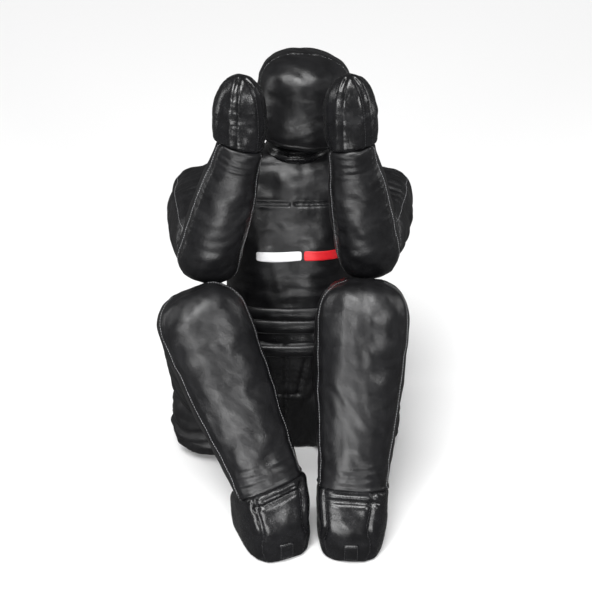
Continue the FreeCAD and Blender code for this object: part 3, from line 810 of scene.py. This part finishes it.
def hand(side):
    wrist = WRIST[side]
    low, high = (np.array(corner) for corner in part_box("hand_gores_" + side))
    tip = np.array(((low[0] + high[0]) / 2, (low[1] + high[1]) / 2, high[2]))
    axes = Axes(wrist, tip - wrist, FRONT)
    length = np.linalg.norm(tip - wrist) - HAND_TIP
    solid = sleeve_solid(axes, length, *HAND, 2.15, (0.01, HAND_TIP))
    rim, tilt = wrist_rim(side)
    solid = both(solid, beyond(rim + tilt * 0.0005, -tilt), 0.006)
    grid = wrap(solid, Axes(wrist + axes.z * 0.026, axes.z, axes.y), length - 0.026, rows=14, caps=(10, 18))
    add("hand_skin_" + side, grid, "hand_" + side,
        ["hand_gores_" + side, "hand_filling_" + side], GLOSSY_LEATHER,
        **straight_seams(grid, HAND_SEAMS[side], 7.0, len(grid) - 2.2), stitches=[(), (1,), (1,), (1,)],
        thread=BLACK_THREAD, held_rows=range(8), lumps=0.0010, cap=0.005, depth=0.0042, width=0.0030,
        pucker=0.0002)


# ------------------------------------------------------------------ head and neck
HEAD = ((0.083, 0.091, 0.095, 0.097, 0.096, 0.093), (0.090, 0.098, 0.101, 0.101, 0.099, 0.095),
        (0.088, 0.096, 0.101, 0.101, 0.099, 0.095))
NECK_ROLL = ((0.058, 0.066, 0.058), (0.060, 0.069, 0.060), (0.058, 0.064, 0.058))


def head():
    axes = Axes(NECK + HEAD_UP * 0.034, HEAD_UP, FRONT)
    solid = sleeve_solid(axes, 0.098, *HEAD, 2.4, (0.018, 0.068))
    grid = wrap(solid, axes, 0.090, rows=20, caps=(9, 18))
    lean = axes.world(0.0, 0.916, 0.40) - axes.origin
    face_seam = loop_seam(solid, axes.world(0.0, 0.0175, 0.125), lean, HEAD_UP, -150, 150)
    back_seam = loop_seam(solid, axes.world(0.0, -0.02, 0.085), axes.x, HEAD_UP, 30, 150)
    add("head_skin", grid, "head", ["head_face_panel", "head_back_panel", "head_filling"], BODY_LEATHER,
        seams=[face_seam, back_seam], stitches=[(1,), (1,)], held_rows=range(5), fine=4, lumps=0.0012,
        cap=0.006, depth=0.0026, pucker=0.0003)


def neck():
    axes = Axes(NECK - UP * 0.013, UP, FRONT)
    roll = sleeve_solid(axes, 0.026, *NECK_ROLL, 2.2, (0.014, 0.014))
    grid = wrap(roll, axes, 0.026, rows=10, caps=(7, 7))
    add("neck_roll", grid, "neck", ["neck_collar", "neck_filling"], GLOSSY_LEATHER, held_rows=range(-1, 1),
        lumps=0.0004, cap=0.002)


# ------------------------------------------------------------------ trunk
TRUNK = Axes(WAIST, TRUNK_UP, FRONT)
CHEST = ((0.134, 0.138, 0.143, 0.149, 0.152, 0.146, 0.100), (0.098, 0.101, 0.104, 0.104, 0.101, 0.088, 0.056),
         (0.098, 0.101, 0.1035, 0.1045, 0.1045, 0.096, 0.070))
SHOULDER_LOBE = ((0.068, 0.068), (0.058, 0.058), (0.062, 0.062))
PELVIS = ((0.150, 0.150, 0.145, 0.137), (0.110, 0.113, 0.110, 0.104), (0.146, 0.150, 0.132, 0.098))
SEAT_LOBE = ((0.100, 0.097), (0.118, 0.108), (0.118, 0.108))
CHEST_HIGH = 0.362
CHEST_ROWS = 40
CHEST_CAP = 8               # rows of each round end of the chest
YOKE_HIGH = 0.284           # of the chest seam, above the waist
BANDS_HIGH = 0.066          # the chest is held still below this, under its waistbands


def chest_form():
    """The solid of the chest with its shoulders."""
    solid = sleeve_solid(TRUNK, CHEST_HIGH, *CHEST, 2.7, (0.075, 0.016))
    for side in "RL":
        axes = Axes(SHOULDER[side] + np.array((-OUT[side] * 0.046, -0.006, 0.012)), UP, FRONT)
        solid = either(solid, sleeve_solid(axes, 0.01, *SHOULDER_LOBE, 2.3, (0.075, 0.056)), 0.035)
    return solid


def chest():
    """Notes the chest and returns its solid."""
    solid = chest_form()
    grid = wrap(solid, TRUNK, CHEST_HIGH, rows=CHEST_ROWS, caps=(CHEST_CAP, CHEST_CAP))
    front_row = CHEST_CAP + (CHEST_ROWS - 1) * YOKE_HIGH / CHEST_HIGH
    back_row = front_row + 2
    front_seam = on_grid(grid, [(front_row, column_at(angle)) for angle in np.linspace(-88, 88, 24)])
    back_seam = on_grid(grid, [(back_row, column_at(angle)) for angle in np.linspace(92, 268, 24)])
    sides = straight_seams(grid, (90.0, -90.0), CHEST_CAP, len(grid) - CHEST_CAP - 1)
    folds = [dent(TRUNK.world(x, y, z), size, depth) for x, y, z, size, depth in (
        (0.045, 0.10, 0.24, 0.035, 0.005), (0.0, 0.10, 0.20, 0.05, 0.003),
        (-0.05, 0.10, 0.17, 0.04, 0.003), (0.05, 0.085, 0.315, 0.02, 0.004))]
    folds.append(ripples(TRUNK, (0.08, 0.13), (-60, 60), 0.03, 0.0007))
    add("chest_skin", grid, "chest",
        ["chest_yoke_panel", "chest_front_panel", "chest_back_panel", "chest_filling"], BODY_LEATHER,
        seams=[front_seam, back_seam] + sides["seams"], stitches=[(-1,), (-1,), (), ()], thread=BLACK_THREAD,
        close_rows=[front_row, back_row], close_columns=sides["close_columns"], held_rows=range(-2, 3),
        fine=4, lumps=0.0016, cap=0.006, depth=0.0046, width=0.0036, folds=folds)
    tape_low, tape_high = (np.array(corner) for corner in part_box("zip_tape"))
    from_tape = np.abs(grid[..., 0] - (tape_low[0] + tape_high[0]) / 2)
    beside_tape = (grid[..., 2] > tape_low[2] - 0.03) & (grid[..., 2] < tape_high[2] + 0.03)
    near_tape = (from_tape < 0.035) & (grid[..., 1] > WAIST[1]) & beside_tape
    under_bands = TRUNK.local(grid)[2] < BANDS_HIGH
    jobs["chest_skin"]["hold"] = np.maximum(jobs["chest_skin"]["hold"], near_tape | under_bands)
    return solid


def pelvis_form(base):
    """The solid of the pelvis, flat below, with a lobe round each hip."""
    block = sleeve_solid(base, 0.262, *PELVIS, 2.7, (0.02, 0.03))
    solid = both(block, beyond(WAIST - TRUNK_UP * 0.024, TRUNK_UP), 0.012)
    for side in "RL":
        seat = Axes((HIP[side][0], HIP[side][1] - 0.012, 0.052), UP, FRONT)
        solid = either(solid, sleeve_solid(seat, 0.045, *SEAT_LOBE, 2.3, (0.06, 0.07)), 0.03)
    return both(solid, beyond(np.zeros(3), -UP), 0.02)


def pelvis():
    """Notes the pelvis and returns its solid."""
    centre_x = (HIP["R"][0] + HIP["L"][0]) / 2
    base = Axes((centre_x, WAIST[1], 0.0), UP, FRONT)
    axes = Axes((centre_x, WAIST[1], 0.05), UP, FRONT)
    solid = pelvis_form(base)
    grid = wrap(solid, axes, 0.17, rows=26, caps=(13, 10))
    seams = []
    for first, last, count in (((-0.044, 0.232), (-0.026, 0.150), 20), ((0.044, 0.232), (0.026, 0.150), 20),
                               ((-0.026, 0.150), (0.026, 0.150), 14), ((0.0, 0.146), (0.0, 0.03), 16)):
        line = np.linspace(base.world(first[0], 0.0, first[1]), base.world(last[0], 0.0, last[1]), count)
        seams.append(cast(solid, line, np.tile(FRONT, (count, 1))))
    seams.append(loop_seam(solid, axes.origin, (1.0, 0.0, 0.0), UP, 20, 85))
    folds = [ripples(axes, (-0.05, 0.06), (40, 130), 0.028, 0.0028, 0.03),
             ripples(axes, (-0.05, 0.06), (-130, -40), 0.028, 0.0028, -0.03)]
    add("pelvis_skin", grid, "pelvis",
        ["pelvis_cover", "crotch_panel", "seat_bottom_panel", "pelvis_filling"], MATT_LEATHER,
        seams=seams, stitches=[(1,), (-1,), (), (), (1,)], thread=BLACK_THREAD,
        held_rows=range(-8, 5), floor=0.0, fine=4, lumps=0.0018, cap=0.005, width=0.004, folds=folds)
    return solid


def band(name, solid, low, high, edges):
    """A padded waistband laid round a solid, with a row of twisted stitches along the given edges."""
    node, body = "waistband_" + name, "pelvis" if name == "lower" else "chest"
    columns, across = 180, 14
    t = np.linspace(0, 1, across)
    heights = low + (high - low) * t
    heights = np.concatenate([heights, heights[::-1]])
    crown = 0.0022 + 0.0062 * np.sin(math.pi * np.clip(t, 0.02, 0.98)) ** 0.6
    lift = np.concatenate([crown, np.full(across, -0.004)])
    angle = np.linspace(0, 2 * math.pi, columns, endpoint=False)
    outward = TRUNK.world(np.sin(angle), np.cos(angle), np.zeros(columns)) - TRUNK.origin
    origins = TRUNK.world(np.zeros(len(heights)), np.zeros(len(heights)), heights)[:, None, :]
    grid = cast(solid, origins, np.broadcast_to(outward, (len(heights), columns, 3)))
    grid = grid + outward[None] * lift[:, None, None]
    grid = grid + outward[None] * (0.0005 * lumps(grid, 0.02, 4))[..., None]
    faces = grid_faces(len(heights), columns, close_rows=True)
    obj = mesh_from(node + "_skin", grid.reshape(-1, 3), faces, BODY_LEATHER)
    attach(obj, body)
    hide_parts(node)
    tree = BVHTree.FromObject(obj, bpy.context.evaluated_depsgraph_get())
    rows = []
    for edge in edges:
        ring = grid[int(round(edge * (across - 1)))]
        rows.append(laid(tree, np.concatenate([ring, ring[:1]])))
    stitch(node + "_skin_stitches", body, rows, BLACK_THREAD, 0.0042, 0.0046, 0.0009, math.radians(28))


# ------------------------------------------------------------------ flat trim
TAB_STEPS = 12              # points along each side of a toe tab
PRINT_HIGH = 0.187          # of the print, above the waist


def patch(name, body, tree, axes, centre, size, thick, material, steps, toward, nodes=()):
    """A thin rounded rectangle laid on a surface, seen from toward. Returns its points and normals."""
    across, high = steps
    top, normals = [], []
    for b in np.linspace(-1, 1, high):
        for a in np.linspace(-1, 1, across):
            squeeze = 1 - 0.06 * (abs(a) * abs(b)) ** 6
            spot = centre + axes.x * a * size[0] / 2 * squeeze + axes.z * b * size[1] / 2 * squeeze
            place, normal, _, _ = tree.ray_cast(Vector(spot + toward * 0.2), Vector(-toward))
            edge = max(abs(a), abs(b)) ** 8
            top.append(np.array(place) + np.array(normal) * thick * (1 - 0.55 * edge))
            normals.append(np.array(normal))
    top, normals = np.array(top), np.array(normals)
    under = top - normals * (thick + 0.0012)
    index = np.arange(across * high).reshape(high, across)
    quads = [(index[i, j], index[i, j + 1], index[i + 1, j + 1], index[i + 1, j])
             for i in range(high - 1) for j in range(across - 1)]
    shift = across * high
    faces = [q[::-1] for q in quads] + [tuple(k + shift for k in q) for q in quads]
    rim = [*index[0, :-1], *index[:-1, -1], *index[-1, :0:-1], *index[:0:-1, 0]]
    faces += [(a, b, b + shift, a + shift) for a, b in zip(rim, rim[1:] + rim[:1])]
    obj = mesh_from(name, np.concatenate([top, under]), faces, material)
    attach(obj, body)
    if nodes:
        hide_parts(*nodes)
    return top.reshape(high, across, 3), normals.reshape(high, across, 3)


def toe_tab(side, tree, axes):
    body = "foot_" + side
    top, normals = patch("toe_tab_skin_" + side, body, tree, axes, axes.world(0.0, 0.0, 0.030),
                         (0.030, 0.038), 0.0026, GLOSSY_LEATHER, (TAB_STEPS, TAB_STEPS), axes.y,
                         ["toe_tab_" + side])
    first, last = 1, TAB_STEPS - 2
    ring = [*[(first, j) for j in range(first, last + 1)], *[(i, last) for i in range(first, last + 1)],
            *[(last, j) for j in range(last, first, -1)], *[(i, first) for i in range(last, first - 1, -1)]]
    rows, columns = np.array(ring).T
    line = (top[rows, columns], normals[rows, columns])
    stitch("toe_tab_stitches_" + side, body, [line], BLACK_THREAD, 0.0045, 0.003, 0.0006)


def chest_print(tree):
    """A plain white bar and a plain red bar, side by side."""
    for name, left, right, material in (("print_white", 0.074, -0.020, WHITE_PRINT),
                                        ("print_red", -0.025, -0.100, RED_PRINT)):
        centre = TRUNK.world((left + right) / 2, 0.0, PRINT_HIGH)
        patch(name, "chest", tree, TRUNK, centre, (left - right, 0.021), 0.0004, material, (40, 8), FRONT)


# ------------------------------------------------------------------ building
foot_axes = {}
for one in "RL":
    leg(one)
    foot_axes[one] = foot(one)
    arm(one)
    hand(one)
head()
neck()
chest_solid = chest()
pelvis_solid = pelvis()
puff()
trees = {name: finish_piece(name, job) for name, job in jobs.items()}
band("upper", chest_solid, 0.0275, 0.0555, (0.97, 0.03))
band("middle", chest_solid, -0.0025, 0.0265, (0.03,))
band("lower", pelvis_solid, -0.056, -0.0305, (0.97, 0.03))
for one in "RL":
    toe_tab(one, trees["foot_skin_" + one], foot_axes[one])
chest_print(trees["chest_skin"])

for node, material in (("zip_tape", TAPE_CLOTH), ("zip_slider", ZIP_METAL), ("zip_pull", ZIP_METAL)):
    for slot in frame["nodes"][node].material_slots:
        slot.material = material


# ------------------------------------------------------------------ floor, light and camera
FLOOR = 90.0                # half its width, so that it reaches the horizon
SUBJECT = (0.0, 0.0, 0.45)  # what the lamps point at
CAMERA_TILT = 30            # degrees downwards
CAMERA_AWAY = 2.6           # metres from the point that it looks at
CAMERA_AIM = np.array((WAIST[0], WAIST[1] - 0.105, 0.3802))


def lamp(name, kind, place, target, power):
    data = bpy.data.lights.new(name, kind)
    data.energy = power
    obj = bpy.data.objects.new(name, data)
    obj.location = place
    obj.rotation_euler = (Vector(target) - Vector(place)).to_track_quat("-Z", "Y").to_euler()
    obj.visible_camera = False
    bpy.context.scene.collection.objects.link(obj)
    return data


def softbox(name, place, target, power, wide, tall):
    data = lamp(name, "AREA", place, target, power)
    data.shape = "RECTANGLE"
    data.size = wide
    data.size_y = tall


def floor_and_light():
    paper = spun("pale_paper", (0.88, 0.88, 0.88), (0.87, 0.87, 0.87), 0.85)
    corners = [(x * FLOOR, y * FLOOR, -0.0005) for x, y in ((-1, -1), (1, -1), (1, 1), (-1, 1))]
    floor = mesh_from("floor", corners, [(0, 1, 2, 3)], paper)
    floor.visible_glossy = False
    world = bpy.data.worlds.new("studio")
    bpy.context.scene.world = world
    world.use_nodes = True
    background = world.node_tree.nodes["Background"]
    background.inputs["Color"].default_value = (1.0, 1.0, 1.0, 1)
    background.inputs["Strength"].default_value = 0.11
    lamp("overhead", "SUN", (-0.35, -1.2, 2.8), SUBJECT, 3.3).angle = math.radians(30.0)
    softbox("front_left", (-1.15, -2.5, 1.45), SUBJECT, 30, 0.5, 0.8)
    softbox("front_right", (1.35, -2.3, 1.55), SUBJECT, 28, 0.4, 0.9)
    softbox("bounce", (-0.25, -1.15, 0.12), (0.0, 0.0, 0.65), 7, 0.8, 0.3)
    softbox("left_strip", (-2.1, 0.3, 1.2), SUBJECT, 10, 0.3, 1.8)
    softbox("right_strip", (2.1, 0.3, 1.3), SUBJECT, 10, 0.3, 1.8)


def camera():
    data = bpy.data.cameras.new("camera")
    data.lens = 75.9
    data.sensor_width = 36.0
    data.shift_x = 0.0068
    data.shift_y = 0.0068
    obj = bpy.data.objects.new("camera", data)
    angle = math.radians(CAMERA_TILT)
    obj.location = CAMERA_AIM + CAMERA_AWAY * np.array((0.0, -math.cos(angle), math.sin(angle)))
    obj.rotation_euler = (math.pi / 2 - angle, 0.0, 0.0)
    bpy.context.scene.collection.objects.link(obj)
    bpy.context.scene.camera = obj


floor_and_light()
camera()
bpy.context.scene.view_settings.view_transform = "Standard"
